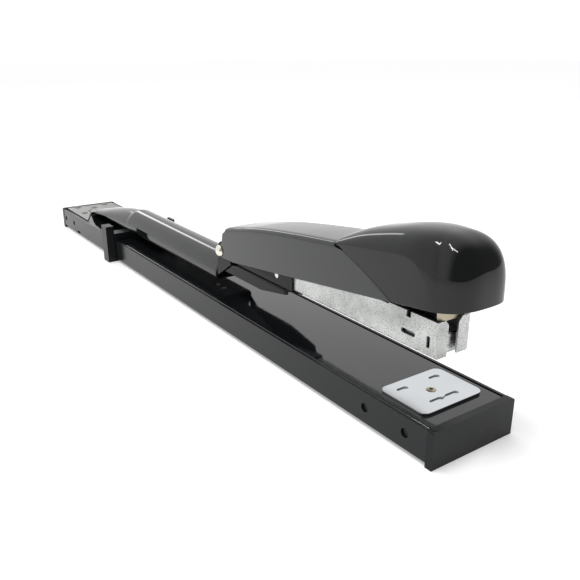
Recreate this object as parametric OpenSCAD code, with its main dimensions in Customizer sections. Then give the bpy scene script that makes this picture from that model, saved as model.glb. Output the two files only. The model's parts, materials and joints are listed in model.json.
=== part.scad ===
// Long-reach stapler.
// The base lies along X with the anvil at +X. Z is up, and the origin is on the
// ground under the middle of the base. The head is modelled at rest, raised.

/* [Base] */
// Length of the base over both end caps
base_len = 385; // [360:1:420]
// Width of the base channel
base_w = 40; // [36:0.5:46]
// Height of the channel's rim above the ground
rim_z = 13.9; // [13:0.1:17]
// Height of the channel's underside above the ground
base_lift = 0.8; // [0.8:0.1:1.6]
// Sheet thickness of the channel and the top plate
base_t = 1.2; // [0.9:0.1:1.5]
// How far the top plate lies below the rim
plate_drop = 0.2; // [0:0.1:0.6]
// Length of each end cap that shows beyond the channel
cap_len = 3; // [2:0.5:6]
// How far each end cap's lip stands above the rim
cap_lip = 0.6; // [0.4:0.1:1.5]
// Diameter of the holes for the caps' snap pegs
peg_d = 3.5; // [2.5:0.1:4.5]

/* [Anvil] */
// Distance from the front of the base to the anvil's turning centre
anvil_setback = 20.75; // [20:0.25:24]
// Length of the anvil plate along the base
anvil_len = 22.7; // [20:0.1:23]
// Width of the anvil plate across the base
anvil_w = 29.8; // [24:0.1:30]
// Thickness of the anvil plate
anvil_t = 0.8; // [0.8:0.1:1.1]
// Distance from the turning centre to each row of clinching pockets
groove_offset = 6.3; // [5.5:0.1:7]

/* [Arm] */
// Distance from the front of the base to the front end of the arm
arm_reach = 160.2; // [155:0.5:170]
// Half width of the arm, the radius of its round top
arm_r = 10.65; // [10.2:0.05:11]
// Height of the arm's underside
arm_bottom_z = 18.6; // [18.4:0.1:20]
// Height of the arm's round crown
arm_crown_z = 31.2; // [31:0.1:31.4]
// Sheet thickness of the arm's cover
cover_t = 0.6; // [0.5:0.1:0.8]
// Sheet thickness of the rail inside the arm
rail_t = 0.9; // [0.7:0.1:1.1]

/* [Head] */
// Distance of the pivot behind the driver blade
pivot_back = 139.9; // [136:0.1:144]
// Height of the pivot
pivot_z = 35.4; // [35:0.1:36]
// Diameter of the pivot rivet's shank
pivot_d = 4; // [3:0.1:4.4]
// Radial clearance of the turning parts on the pivot
pivot_gap = 0.05; // [0.03:0.01:0.1]
// Radial clearance of the pusher on its rod
rod_gap = 0.05; // [0.03:0.01:0.1]

/* [Magazine] */
// Outer width of the magazine
mag_w = 15.6; // [15.4:0.1:15.8]
// Height of the magazine's underside above the ground
mag_z = 31.5; // [31.5:0.1:32]
// Height of the magazine's walls
mag_h = 13.4; // [13:0.1:13.8]
// Sheet thickness of the magazine
mag_t = 0.8; // [0.7:0.05:0.9]
// Crown width of a staple
staple_w = 12.9; // [12.7:0.1:13]
// Leg length of a staple
staple_leg = 6; // [5:0.5:6]
// Length of the strip of staples
strip_len = 52; // [10:1:60]

/* [Handle] */
// Half width of the handle at the pivot
handle_rear_w = 11; // [11:0.1:12]
// Half width of the handle at the blade
handle_front_w = 15; // [14:0.1:16]
// Sheet thickness of the handle's steel shell
shell_t = 1; // [0.8:0.1:1]
// Wall of the plastic nose cap
nose_wall = 1.8; // [1.5:0.1:2.2]

/* [Paper stop] */
// Length of the stop along the base
stop_len = 8; // [8:0.5:20]
// Distance from the rear of the base to the stop's rear face
stop_from_rear = 101; // [60:0.5:110]
// Clearance of the stop around the base
stop_gap = 0.3; // [0.2:0.05:0.4]
// Thickness of the thumb grip on the stop's near side
grip_t = 5.1; // [3:0.1:6]

/* [Hidden] */
$fn = 48;

// A hair of extra depth that cuts use to pass through a face
eps = 0.1;
// Gap left between flat faces that slide or lie close to each other
slip = 0.2;

// Base
front_x = base_len / 2;
rear_x = -front_x;
channel_x = front_x - cap_len;
plate_z = rim_z - plate_drop;
channel_bend_r = 0.3;
plate_half_w = base_w / 2 - base_t - channel_bend_r;
plug_half_w = plate_half_w - base_t - slip;
plug_top_z = plate_z - base_t - slip;
floor_z = base_lift + base_t;
peg_z = 7.8;
peg_from_front = [13.1, 33.6];
peg_from_rear = [7.1, 25.5];
cap_plug_len = 40;

// Anvil
anvil_x = front_x - anvil_setback;
anvil_seat_h = 0.1;
anvil_under_z = plate_z + anvil_seat_h + 0.05;
anvil_top_z = anvil_under_z + anvil_t;
anvil_shank_r = 1.5;

// Arm
arm_front_x = front_x - arm_reach;
arm_lip = 1.4;
cover_bottom_z = arm_bottom_z + arm_lip;
tail_start_x = rear_x + 21;
tail_full_x = rear_x + 95;
tail_lift_x = rear_x + 47;
tail_half_w = 7.4;
arm_rail_rear_x = rear_x + 69;
tail_plate_t = 0.9;
tail_top_z = plate_z + tail_plate_t;
tail_rivet_r = 1.6;
tail_rivet_places = [
    [rear_x + 7, -10.5], [rear_x + 7, 10.5], [rear_x + 14, 0],
    [rear_x + 27, -12], [rear_x + 27, 12]
];

// Head: pivot, driver line, magazine
driver_x = anvil_x + groove_offset;
driver_t = 0.6;
pivot_x = driver_x - pivot_back;
pivot_r = pivot_d / 2;
mag_front_x = driver_x + 1.4;
mag_half = mag_w / 2;
mag_floor_z = mag_z + mag_t;
mag_top_z = mag_z + mag_h;
mag_rear_x = pivot_x + 18;
carrier_t = 0.9;
holder_t = 0.8;
holder_half = mag_half + 0.05 + holder_t;
carrier_half = holder_half + 0.05;
ear_t = 0.85;
ear_in = carrier_half + 0.2;
ear_out = ear_in + ear_t;
bracket_root_x = arm_front_x - 22;
bracket_rivet_x = [bracket_root_x + 4.3, bracket_root_x + 11];
bracket_rivet_r = 1.5;
lift_t = 0.5;
holder_front_x = pivot_x + 59;
holder_floor_z = mag_z - holder_t;
carrier_top_z = holder_floor_z;
carrier_rivet_x = [pivot_x + 33, pivot_x + 50];
carrier_rivet_r = 1.4;
wall_rivet_x = [mag_rear_x + 8, holder_front_x - 12];
wall_rivet_z = mag_z + 4;
wall_rivet_r = 1.3;

// Staples, their rail, the pusher and its rod
wire_t = 0.5;
staple_half = staple_w / 2;
rail_half = staple_half - wire_t - 0.25;
leg_bottom_z = mag_floor_z + 0.2;
crown_top_z = leg_bottom_z + staple_leg + wire_t;
rail_top_z = crown_top_z - wire_t - 0.15;
rail_sheet = 0.8;
rail_front_x = driver_x - driver_t / 2 - 0.4;
rail_rear_x = mag_rear_x + 6;
strip_front_x = rail_front_x;
strip_rear_x = strip_front_x - strip_len;
pusher_len = 14;
pusher_front_x = strip_rear_x - 0.1;
rod_r = 1;
rod_z = (mag_floor_z + rail_top_z - rail_sheet) / 2;
rod_boss_r = 2.1;
rail_slot = 2.6;

// Handle, in the same frame: the points follow the closed handle's pressed outline
seam_top_x = pivot_x + 93;
seam_bottom_x = pivot_x + 126.3;
nose_front_x = driver_x + 14.8;
handle_flare = (handle_front_w - handle_rear_w) / pivot_back;
driver_tip_z = mag_top_z - 0.8;
blade_foot_x = driver_x - 2.6;

function handle_half(x) = handle_rear_w + handle_flare * (x - pivot_x);

// Straight-line value between (x0, y0) and (x1, y1)
function along(x, x0, y0, x1, y1) = y0 + (y1 - y0) * (x - x0) / (x1 - x0);

// Smooth step from 0 at a to 1 at b
function ease(x, a, b) =
    let(t = max(0, min(1, (x - a) / (b - a)))) t * t * (3 - 2 * t);

// ---------------------------------------------------------------- helpers

// A 2D outline drawn with x as Y and y as Z, extruded along X from x0 to x1
module along_x(x0, x1) {
    translate([x0, 0, 0]) rotate([90, 0, 90]) linear_extrude(x1 - x0) children();
}

// A 2D outline drawn with x as X and y as Z, extruded along Y from y0 to y1
module along_y(y0, y1) {
    translate([0, y1, 0]) rotate([90, 0, 0]) linear_extrude(y1 - y0) children();
}

// The same outline on both sides, between y0 and y1 from the middle
module both_sides(y0, y1) {
    along_y(y0, y1) children();
    along_y(-y1, -y0) children();
}

// A cylinder along Y from y0 to y1
module pin_y(x, z, r, y0, y1) {
    translate([x, y0, z]) rotate([-90, 0, 0]) cylinder(r = r, h = y1 - y0);
}

// A cylinder along X from x0 to x1
module pin_x(x0, x1, z, r) {
    translate([x0, 0, z]) rotate([0, 90, 0]) cylinder(r = r, h = x1 - x0);
}

// A box given by its lowest and highest corners
module block(low, high) {
    translate(low) cube(high - low);
}

// A rectangle with its lower corners rounded
module tray_outline(half_w, z0, z1, r) {
    translate([-half_w, z0 + r]) square([2 * half_w, z1 - z0 - r]);
    translate([-half_w + r, z0]) square([2 * (half_w - r), r + eps]);
    for (side = [-1, 1]) translate([side * (half_w - r), z0 + r]) circle(r);
}

// A rectangle with its upper corners rounded
module lid_outline(half_w, z0, z1, r) {
    translate([-half_w, z0]) square([2 * half_w, z1 - z0 - r]);
    translate([-half_w + r, z1 - r - eps]) square([2 * (half_w - r), r + eps]);
    for (side = [-1, 1]) translate([side * (half_w - r), z1 - r]) circle(r);
}

// A rectangle with four rounded corners, centred
module pad_outline(len, wid, r) {
    square([len - 2 * r, wid], center = true);
    square([len, wid - 2 * r], center = true);
    for (sx = [-1, 1], sy = [-1, 1]) {
        translate([sx * (len / 2 - r), sy * (wid / 2 - r)]) circle(r);
    }
}

// A rivet standing along Z: shank from z0 to z1 with a low domed head on top
module rivet_z(x, y, z0, z1, shank_r, head_r, head_h) {
    translate([x, y, 0]) {
        translate([0, 0, z0]) cylinder(r = shank_r, h = z1 - z0);
        translate([0, 0, z1]) dome(head_r, head_h);
    }
}

// A low dome of radius r and height h on the plane z = 0
module dome(r, h) {
    ball_r = (r * r + h * h) / (2 * h);
    rotate_extrude() intersection() {
        translate([0, h - ball_r]) circle(ball_r, $fn = 96);
        square([r, h]);
    }
}

// A wire of radius r swept along a list of 3D points
module swept_wire(path, r, sides) {
    n = len(path);
    ring = [for (i = [0 : n - 1])
        let(
            ahead = path[min(i + 1, n - 1)] - path[max(i - 1, 0)],
            dir = ahead / norm(ahead),
            helper = abs(dir[1]) < 0.9 ? [0, 1, 0] : [1, 0, 0],
            u = cross(helper, dir) / norm(cross(helper, dir)),
            v = cross(dir, u)
        )
        for (k = [0 : sides - 1])
            path[i] + r * (cos(360 * k / sides) * u + sin(360 * k / sides) * v)
    ];
    tube_mesh(ring, n, sides);
}

// Triangles between n rings of m points each. Seen from the last ring's side, each
// ring runs anticlockwise.
function skin(n, m) = concat(
    [for (i = [0 : n - 2], k = [0 : m - 1])
        [i * m + k, (i + 1) * m + k, (i + 1) * m + (k + 1) % m]],
    [for (i = [0 : n - 2], k = [0 : m - 1])
        [i * m + k, (i + 1) * m + (k + 1) % m, i * m + (k + 1) % m]]
);

// Solid skinned over convex rings, closed by one face at each end
module tube_mesh(points, n, m) {
    first = [for (k = [0 : m - 1]) k];
    last = [for (k = [m - 1 : -1 : 0]) (n - 1) * m + k];
    polyhedron(points, concat([first], skin(n, m), [last]), convexity = 6);
}

// Solid skinned over arches, each an outer arc followed by the inner arc back. A row
// of four-sided faces closes each end.
module arch_mesh(points, n, m) {
    half = m / 2;
    end = (n - 1) * m;
    first = [for (k = [0 : half - 2]) [k, k + 1, m - 2 - k, m - 1 - k]];
    last = [for (k = [0 : half - 2])
        [end + m - 1 - k, end + m - 2 - k, end + k + 1, end + k]
    ];
    polyhedron(points, concat(first, skin(n, m), last), convexity = 6);
}

// ---------------------------------------------------------------- base

// Snap-peg holes through both walls, at the front and the rear
module peg_holes(r) {
    for (d = peg_from_front) pin_y(front_x - d, peg_z, r, -base_w, base_w);
    for (d = peg_from_rear) pin_y(rear_x + d, peg_z, r, -base_w, base_w);
}

module base_channel() {
    slot_x = rear_x + 35;
    color([0.09, 0.09, 0.1]) difference() {
        along_x(-channel_x, channel_x) difference() {
            tray_outline(base_w / 2, base_lift, rim_z, channel_bend_r + base_t);
            tray_outline(base_w / 2 - base_t, floor_z, rim_z + eps, channel_bend_r);
        }
        peg_holes(peg_d / 2);
        // small tooling slots at the foot of both walls
        block([slot_x - 3, -base_w, base_lift + 1.4], [slot_x + 3, base_w, base_lift + 3]);
    }
}

module top_plate() {
    fold_r = 0.8;
    color([0.03, 0.03, 0.035]) difference() {
        union() {
            along_x(-channel_x, channel_x) difference() {
                lid_outline(plate_half_w, floor_z, plate_z, fold_r);
                lid_outline(plate_half_w - base_t, floor_z - eps, plate_z - base_t, fold_r / 4);
            }
            // raised seat under the anvil
            translate([anvil_x, 0, plate_z - eps]) linear_extrude(anvil_seat_h + eps)
                pad_outline(anvil_len - 2.4, anvil_w - 2.4, 2);
        }
        peg_holes(peg_d / 2);
        translate([anvil_x, 0, plate_z - base_t - eps])
            cylinder(r = anvil_shank_r, h = base_t + anvil_seat_h + 2 * eps);
        for (p = tail_rivet_places) {
            translate([p[0], p[1], plate_z - base_t - eps])
                cylinder(r = tail_rivet_r, h = base_t + 2 * eps);
        }
    }
}

// One end cap, drawn for the front; pegs gives the pegs' distances from the end
module end_cap(pegs) {
    side_proud = 0.15;
    color([0.13, 0.13, 0.14]) difference() {
        union() {
            // the visible end, as tall as the lip
            along_x(channel_x, front_x) {
                lid_outline(base_w / 2 + side_proud, 0, rim_z + cap_lip, 1.2);
            }
            // foot under the channel
            block([front_x - 12, -base_w / 2 + 3, 0], [channel_x, base_w / 2 - 3, base_lift]);
            // plug inside the channel, with the snap pegs
            block([front_x - cap_plug_len, -plug_half_w, floor_z],
                  [channel_x, plug_half_w, plug_top_z]);
            for (d = pegs) {
                pin_y(front_x - d, peg_z, peg_d / 2 - 0.1, -base_w / 2 + 0.8, base_w / 2 - 0.8);
            }
        }
        // the plug is cored out from below
        block([front_x - cap_plug_len + 2, -plug_half_w + 2.5, floor_z - eps],
              [channel_x - 2, -2, plug_top_z - 2]);
        block([front_x - cap_plug_len + 2, 2, floor_z - eps],
              [channel_x - 2, plug_half_w - 2.5, plug_top_z - 2]);
    }
}

module front_end_cap() {
    difference() {
        end_cap(peg_from_front);
        // well around the anvil's pivot
        color([0.13, 0.13, 0.14]) translate([anvil_x, 0, floor_z + 4]) cylinder(r = 5.5, h = 12);
    }
}

module rear_end_cap() {
    mirror([1, 0, 0]) end_cap(peg_from_rear);
}

// ---------------------------------------------------------------- anvil

// One clinching pocket: a round-ended slot across the base, centred at (x, y)
module clinch_pocket(x, y, width, len) {
    depth = 0.5;
    translate([x, y, anvil_top_z - depth]) linear_extrude(depth + eps)
        pad_outline(width, len, width / 2 - 0.01);
}

module anvil_plate() {
    // the front row folds the legs inwards, the rear row lets them run outwards
    pocket_w = 2.1;
    neck_w = 0.7;
    close_len = 6.2;
    close_y = close_len / 2 + 0.7;
    wide_len = 5;
    wide_y = staple_half + 1.6;
    row_x = [anvil_x + groove_offset, anvil_x - groove_offset];
    color([0.86, 0.86, 0.87]) difference() {
        translate([anvil_x, 0, anvil_under_z]) linear_extrude(anvil_t)
            pad_outline(anvil_len, anvil_w, 3);
        translate([anvil_x, 0, anvil_under_z - eps])
            cylinder(r = anvil_shank_r + pivot_gap, h = anvil_t + 2 * eps);
        for (side = [-1, 1]) {
            clinch_pocket(row_x[0], side * close_y, pocket_w, close_len);
            clinch_pocket(row_x[1], side * wide_y, pocket_w, wide_len);
        }
        clinch_pocket(row_x[0], 0, neck_w, 2 * close_y);
    }
}

module anvil_pivot() {
    head_r = 1.9;
    tail_z = plate_z - base_t - 2;
    color([0.62, 0.55, 0.38]) difference() {
        union() {
            rivet_z(anvil_x, 0, tail_z, anvil_top_z + 0.05, anvil_shank_r, head_r, 0.4);
            translate([anvil_x, 0, tail_z - 0.7]) cylinder(r = head_r, h = 0.7);
        }
        // dimple left by the rivet's punch
        translate([anvil_x, 0, anvil_top_z - 0.3]) cylinder(r = 0.75, h = 1);
    }
}

module anvil_spring_washer() {
    washer_z = plate_z - base_t - 2;
    color([0.5, 0.5, 0.52]) translate([anvil_x, 0, washer_z]) difference() {
        union() {
            cylinder(r = 4.2, h = 0.4);
            translate([0, 0, 0.4]) cylinder(r = 3, h = 1.6);
        }
        translate([0, 0, -eps]) cylinder(r = anvil_shank_r, h = 2.4);
    }
}

// ---------------------------------------------------------------- arm

module tail_plate() {
    corner_x = tail_lift_x + 3;
    notch_x = tail_start_x + 6;
    half_w = plate_half_w - 1.1;
    end_x = -channel_x + 1.5;
    color([0.55, 0.55, 0.56]) difference() {
        translate([0, 0, plate_z]) linear_extrude(tail_plate_t) polygon([
            [end_x, -half_w], [corner_x, -half_w], [notch_x, -7], [notch_x, 7],
            [corner_x, half_w], [end_x, half_w]
        ]);
        for (p = tail_rivet_places) {
            translate([p[0], p[1], plate_z - eps])
                cylinder(r = tail_rivet_r, h = tail_plate_t + 2 * eps);
        }
    }
}

module tail_rivets() {
    color([0.3, 0.27, 0.2]) for (p = tail_rivet_places) {
        rivet_z(p[0], p[1], plate_z - base_t - slip / 2, tail_top_z, tail_rivet_r, 2.6, 0.7);
    }
}

// Height of the cover's lower edge: level over the rail, then down to the tail plate
function cover_bottom(x) =
    tail_top_z
    + (arm_bottom_z - tail_top_z) * ease(x, tail_start_x + 6, tail_lift_x)
    + arm_lip * ease(x, tail_lift_x, arm_rail_rear_x);

// Height of the cover's crown: level, then a straight fall to the tail plate
function cover_crown(x) =
    max(cover_bottom(x) + 2 * cover_t + 0.2,
        min(arm_crown_z, along(x, tail_start_x, tail_top_z + cover_t, tail_full_x, arm_crown_z)));

function cover_half(x) =
    tail_half_w + (arm_r - tail_half_w) * ease(x, tail_start_x, tail_lift_x);

// Section of the arm's cover at station x: outer arch, then inner arch back
function cover_ring(x, steps) =
    let(
        bottom = cover_bottom(x),
        rise = cover_crown(x) - bottom,
        half = cover_half(x)
    )
    concat(
        [for (k = [0 : steps]) let(a = 180 * k / steps)
            [x, half * cos(a), bottom + rise * sin(a)]],
        [for (k = [steps : -1 : 0]) let(a = 180 * k / steps)
            [x, (half - cover_t) * cos(a), bottom + (rise - cover_t) * sin(a)]]
    );

module arm_cover() {
    steps = 24;
    tail_steps = 18;
    stations = concat(
        [for (k = [0 : tail_steps])
            tail_start_x + (tail_full_x - tail_start_x) * k / tail_steps],
        [arm_front_x]
    );
    rings = [for (x = stations) each cover_ring(x, steps)];
    color([0.1, 0.1, 0.11]) arch_mesh(rings, len(stations), 2 * (steps + 1));
}

module arm_rail() {
    // narrow enough to pass under the cover's low rear arch
    outer = arm_r - cover_t - 0.3;
    wall_z = cover_bottom_z + 1;
    color([0.08, 0.08, 0.09]) difference() {
        along_x(arm_rail_rear_x, arm_front_x) difference() {
            tray_outline(outer, arm_bottom_z, wall_z, 0.8);
            translate([0, rail_t]) tray_outline(outer - rail_t, arm_bottom_z, wall_z + eps, 0.2);
        }
        // room for the head bracket's ears, and its rivet holes
        block([bracket_root_x, -arm_r, arm_bottom_z + rail_t],
              [arm_front_x + eps, arm_r, wall_z + eps]);
        bracket_holes(arm_bottom_z);
    }
}

// Rivet holes for the head bracket, from height z up through one sheet
module bracket_holes(z) {
    for (x = bracket_rivet_x) {
        translate([x, 0, z - eps]) cylinder(r = bracket_rivet_r, h = rail_t + 2 * eps);
    }
}

// Ears that stand in the arm's open end and carry the pivot
module head_bracket() {
    floor0 = arm_bottom_z + rail_t;
    ear_r = 4.6;
    inside_z = floor0 + 2.7;
    color([0.09, 0.09, 0.1]) difference() {
        union() {
            both_sides(ear_in, ear_out) {
                polygon([
                    [bracket_root_x + 0.3, floor0], [arm_front_x, floor0],
                    [arm_front_x + 1.2, floor0 + 2], [pivot_x + 8.5, pivot_z - 5.2],
                    [pivot_x + 8.5, pivot_z - 4.6], [pivot_x + 4, pivot_z],
                    [pivot_x - ear_r, pivot_z], [arm_front_x + 0.3, inside_z],
                    [bracket_root_x + 0.3, inside_z]
                ]);
                translate([pivot_x, pivot_z]) circle(ear_r);
            }
            block([bracket_root_x + 0.3, -ear_in - eps, floor0],
                  [arm_front_x - 1, ear_in + eps, floor0 + rail_t]);
        }
        pin_y(pivot_x, pivot_z, pivot_r, -ear_out - eps, ear_out + eps);
        bracket_holes(floor0);
    }
}

// The rear rivet holds the bracket alone, the front one the lift spring too
module bracket_rivets() {
    floor1 = arm_bottom_z + 2 * rail_t;
    tops = [floor1, floor1 + lift_t];
    color([0.5, 0.5, 0.5]) for (k = [0, 1]) {
        rivet_z(bracket_rivet_x[k], 0, arm_bottom_z, tops[k], bracket_rivet_r, 2.6, 0.8);
    }
}

// Leaf spring from the bracket's floor up to the carrier's inside
module lift_spring() {
    half_w = 4.5;
    z0 = arm_bottom_z + 2 * rail_t;
    root_x = bracket_rivet_x[1] - 4;
    bend_x = bracket_rivet_x[1] + 5;
    tip_x = pivot_x + 26;
    tip_z = carrier_top_z - carrier_t - 0.1 - lift_t;
    color([0.45, 0.46, 0.5]) difference() {
        along_y(-half_w, half_w) polygon([
            [root_x, z0], [bend_x, z0], [tip_x - 3, tip_z], [tip_x, tip_z],
            [tip_x, tip_z + lift_t], [tip_x - 3.1, tip_z + lift_t],
            [bend_x - 0.1, z0 + lift_t], [root_x, z0 + lift_t]
        ]);
        translate([bracket_rivet_x[1], 0, z0 - eps])
            cylinder(r = bracket_rivet_r, h = lift_t + 2 * eps);
    }
}

module pivot_rivet() {
    shank = handle_rear_w + 0.3;
    head_r = 3.1;
    head_h = 1.7;
    color([0.78, 0.74, 0.62]) {
        pin_y(pivot_x, pivot_z, pivot_r, -shank, shank);
        for (side = [-1, 1]) {
            translate([pivot_x, side * shank, pivot_z]) rotate([-side * 90, 0, 0])
                dome(head_r, head_h);
        }
    }
}

// ---------------------------------------------------------------- magazine

module magazine_carrier() {
    back_x = pivot_x - 3.2;
    heel_x = pivot_x + 33.5;
    tip_x = holder_front_x + 2.3;
    bottom_z = carrier_top_z - 6.1;
    nose_z = carrier_top_z - 1.2;
    color([0.03, 0.03, 0.04]) difference() {
        intersection() {
            along_x(back_x, tip_x) difference() {
                lid_outline(carrier_half, bottom_z, carrier_top_z, 1.2);
                lid_outline(carrier_half - carrier_t, bottom_z - eps,
                            carrier_top_z - carrier_t, 0.3);
            }
            along_y(-carrier_half, carrier_half) polygon([
                [back_x, bottom_z + 1.5], [back_x + 1.5, bottom_z], [heel_x, bottom_z],
                [tip_x, nose_z], [tip_x, carrier_top_z], [back_x, carrier_top_z]
            ]);
            translate([0, 0, bottom_z]) linear_extrude(7) polygon([
                [back_x, -carrier_half], [holder_front_x - 6, -carrier_half], [tip_x, -5],
                [tip_x, 5], [holder_front_x - 6, carrier_half], [back_x, carrier_half]
            ]);
        }
        carrier_rivet_holes(carrier_top_z - carrier_t, carrier_t);
    }
}

module carrier_rivets() {
    color([0.4, 0.4, 0.4]) for (x = carrier_rivet_x) {
        rivet_z(x, 0, carrier_top_z - carrier_t - 0.6, mag_floor_z, carrier_rivet_r, 2.3, 0.3);
    }
}

// Holes for them through one floor of thickness t, from height z up
module carrier_rivet_holes(z, t) {
    for (x = carrier_rivet_x) {
        translate([x, 0, z - eps]) cylinder(r = carrier_rivet_r, h = t + 2 * eps);
    }
}

module magazine_holder() {
    ear_r = 4.4;
    top_z = mag_z + 8.2;
    color([0.12, 0.12, 0.13]) difference() {
        union() {
            along_x(mag_rear_x - 6, holder_front_x) difference() {
                tray_outline(holder_half, holder_floor_z, top_z, 0.9);
                translate([0, holder_t])
                    tray_outline(holder_half - holder_t, holder_floor_z, top_z + eps, 0.1);
            }
            both_sides(holder_half - holder_t, holder_half) {
                translate([pivot_x, pivot_z]) circle(ear_r);
                translate([pivot_x, pivot_z - 2.6])
                    square([mag_rear_x - pivot_x, ear_r + 2.6 - 0.1]);
            }
        }
        pin_y(pivot_x, pivot_z, pivot_r + pivot_gap, -holder_half - eps, holder_half + eps);
        for (x = wall_rivet_x) {
            pin_y(x, wall_rivet_z, wall_rivet_r, -holder_half - eps, holder_half + eps);
        }
        carrier_rivet_holes(holder_floor_z, holder_t);
    }
}

// Short rivets through the holder's and the magazine's walls, two a side
module holder_rivets() {
    color([0.75, 0.75, 0.75]) for (x = wall_rivet_x, side = [-1, 1]) {
        translate([x, side * (mag_half - mag_t), wall_rivet_z]) rotate([-side * 90, 0, 0])
            cylinder(r = wall_rivet_r, h = holder_half - mag_half + mag_t);
    }
}

module magazine_channel() {
    flange_in = 2.5;
    shoulder_x = mag_front_x - 23.5;
    throat_x = rail_front_x;
    color([0.72, 0.73, 0.74]) difference() {
        union() {
            along_x(mag_rear_x, mag_front_x) difference() {
                tray_outline(mag_half, mag_z, mag_top_z, 0.9);
                translate([0, mag_t])
                    tray_outline(mag_half - mag_t, mag_z, mag_top_z + eps, 0.1);
            }
            // front flanges, folded inwards, with chamfered corners
            along_x(mag_front_x - mag_t, mag_front_x) for (side = [-1, 1]) {
                polygon([
                    [side * flange_in, mag_z], [side * (mag_half - 0.9), mag_z],
                    [side * mag_half, mag_z + 0.9], [side * mag_half, mag_top_z],
                    [side * (flange_in + 1.6), mag_top_z], [side * flange_in, mag_top_z - 1.8]
                ]);
            }
        }
        // the staple's way out through the floor
        block([throat_x, -mag_half + mag_t, mag_z - eps],
              [mag_front_x - mag_t, mag_half - mag_t, mag_floor_z + eps]);
        block([throat_x, -flange_in, mag_z - eps],
              [mag_front_x + eps, flange_in, mag_floor_z + eps]);
        // lower shoulder behind the front
        block([mag_rear_x - eps, -mag_half - eps, mag_top_z - 0.5],
              [shoulder_x, mag_half + eps, mag_top_z + eps]);
        // side slots near the front
        both_sides(mag_half - mag_t - eps, mag_half + eps) {
            translate([mag_front_x - 13.4, mag_z + 5.5]) pad_outline(6.8, 1.9, 0.9);
            translate([mag_front_x - 3.8, mag_z + 5.3]) pad_outline(1.5, 4.3, 0.5);
            translate([mag_front_x - 13.6, mag_z + 12.3]) square([2.2, 2.3], center = true);
        }
        for (x = wall_rivet_x) {
            pin_y(x, wall_rivet_z, wall_rivet_r, -mag_half - eps, mag_half + eps);
        }
        carrier_rivet_holes(mag_z, mag_t);
    }
}

// Inner rail that the staples straddle, slotted along its top for the pusher
module staple_rail() {
    inner = rail_half - rail_sheet;
    color([0.6, 0.61, 0.63]) difference() {
        union() {
            along_x(rail_rear_x, rail_front_x) difference() {
                lid_outline(rail_half, mag_floor_z, rail_top_z, 0.6);
                lid_outline(inner, mag_floor_z - eps, rail_top_z - rail_sheet, 0.2);
            }
            // closed front end
            along_x(rail_front_x - rail_sheet, rail_front_x)
                lid_outline(rail_half, mag_floor_z, rail_top_z, 0.6);
        }
        block([rail_rear_x - eps, -rail_slot / 2, rail_top_z - rail_sheet - eps],
              [rail_front_x - 6, rail_slot / 2, rail_top_z + eps]);
        pin_x(rail_front_x - 1, rail_front_x + 0.1, rod_z, rod_r);
    }
}

// The strip of staples, grooved between the wires
module staple_strip() {
    pitch = 1;
    count = floor(strip_len / pitch);
    groove_w = 0.16;
    groove_t = 0.12;
    top_z = crown_top_z;
    color([0.8, 0.8, 0.8]) difference() {
        along_x(strip_front_x - count * pitch, strip_front_x) difference() {
            translate([-staple_half, leg_bottom_z])
                square([staple_w, top_z - leg_bottom_z]);
            translate([-staple_half + wire_t, leg_bottom_z - eps])
                square([staple_w - 2 * wire_t, top_z - wire_t - leg_bottom_z + eps]);
        }
        for (k = [1 : count - 1]) {
            x = strip_front_x - k * pitch;
            block([x - groove_w / 2, -staple_half - eps, top_z - groove_t],
                  [x + groove_w / 2, staple_half + eps, top_z + eps]);
        }
    }
}

module rail_end_block() {
    inner = rail_half - rail_sheet - 0.05;
    color([0.15, 0.15, 0.16]) difference() {
        block([rail_rear_x, -inner, mag_floor_z],
              [rail_rear_x + 6, inner, rail_top_z - rail_sheet - 0.05]);
        pin_x(rail_rear_x - eps, rail_rear_x + 6 + eps, rod_z, rod_r);
    }
}

module pusher_rod() {
    color([0.7, 0.7, 0.72]) pin_x(rail_rear_x, rail_front_x - 0.1, rod_z, rod_r);
}

module pusher() {
    x0 = pusher_front_x - pusher_len;
    inside = rail_half + 0.25;
    outside = mag_half - mag_t - 0.25;
    top_z = crown_top_z + 1.2;
    color([0.2, 0.2, 0.21]) difference() {
        union() {
            along_x(x0, pusher_front_x) difference() {
                lid_outline(outside, leg_bottom_z, top_z, 0.8);
                lid_outline(inside, leg_bottom_z - eps, rail_top_z + 0.2, 0.2);
            }
            // stem through the rail's slot and the boss on the rod
            block([x0 + 2, -rail_slot / 2 + 0.25, rod_z],
                  [x0 + 10, rail_slot / 2 - 0.25, top_z - 0.5]);
            pin_x(x0 + 2, x0 + 10, rod_z, rod_boss_r);
        }
        pin_x(x0, pusher_front_x, rod_z, rod_r + rod_gap);
    }
}

module pusher_spring() {
    wire_r = 0.25;
    coil_r = 1.65;
    turns = 16;
    per_turn = 12;
    x0 = rail_rear_x + 6 + wire_r + 0.05;
    x1 = pusher_front_x - pusher_len + 2 - wire_r - 0.05;
    path = [for (k = [0 : turns * per_turn])
        let(a = 360 * k / per_turn)
        [x0 + (x1 - x0) * k / (turns * per_turn), coil_r * cos(a), rod_z + coil_r * sin(a)]
    ];
    color([0.7, 0.7, 0.72]) swept_wire(path, wire_r, 5);
}

// ---------------------------------------------------------------- handle

// Side outline of the steel shell, lowered by drop at the top
module shell_side(drop) {
    translate([pivot_x, pivot_z]) circle(pivot_r + 1.4);
    polygon([
        [pivot_x - 0.4, pivot_z - 3.4], [pivot_x + 13.3, pivot_z - 2.8],
        [seam_bottom_x, pivot_z + 13.3],
        [pivot_x + 117, pivot_z + 17.6], [pivot_x + 107.5, pivot_z + 22.1],
        [seam_top_x, pivot_z + 27 - drop],
        [pivot_x + 62, pivot_z + 23.2 - drop], [pivot_x + 34, pivot_z + 19 - drop],
        [pivot_x + 18, pivot_z + 15.6 - drop], [pivot_x + 5.5, pivot_z + 12.8 - drop],
        [pivot_x + 3.6, pivot_z + 11.6 - drop]
    ]);
}

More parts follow.
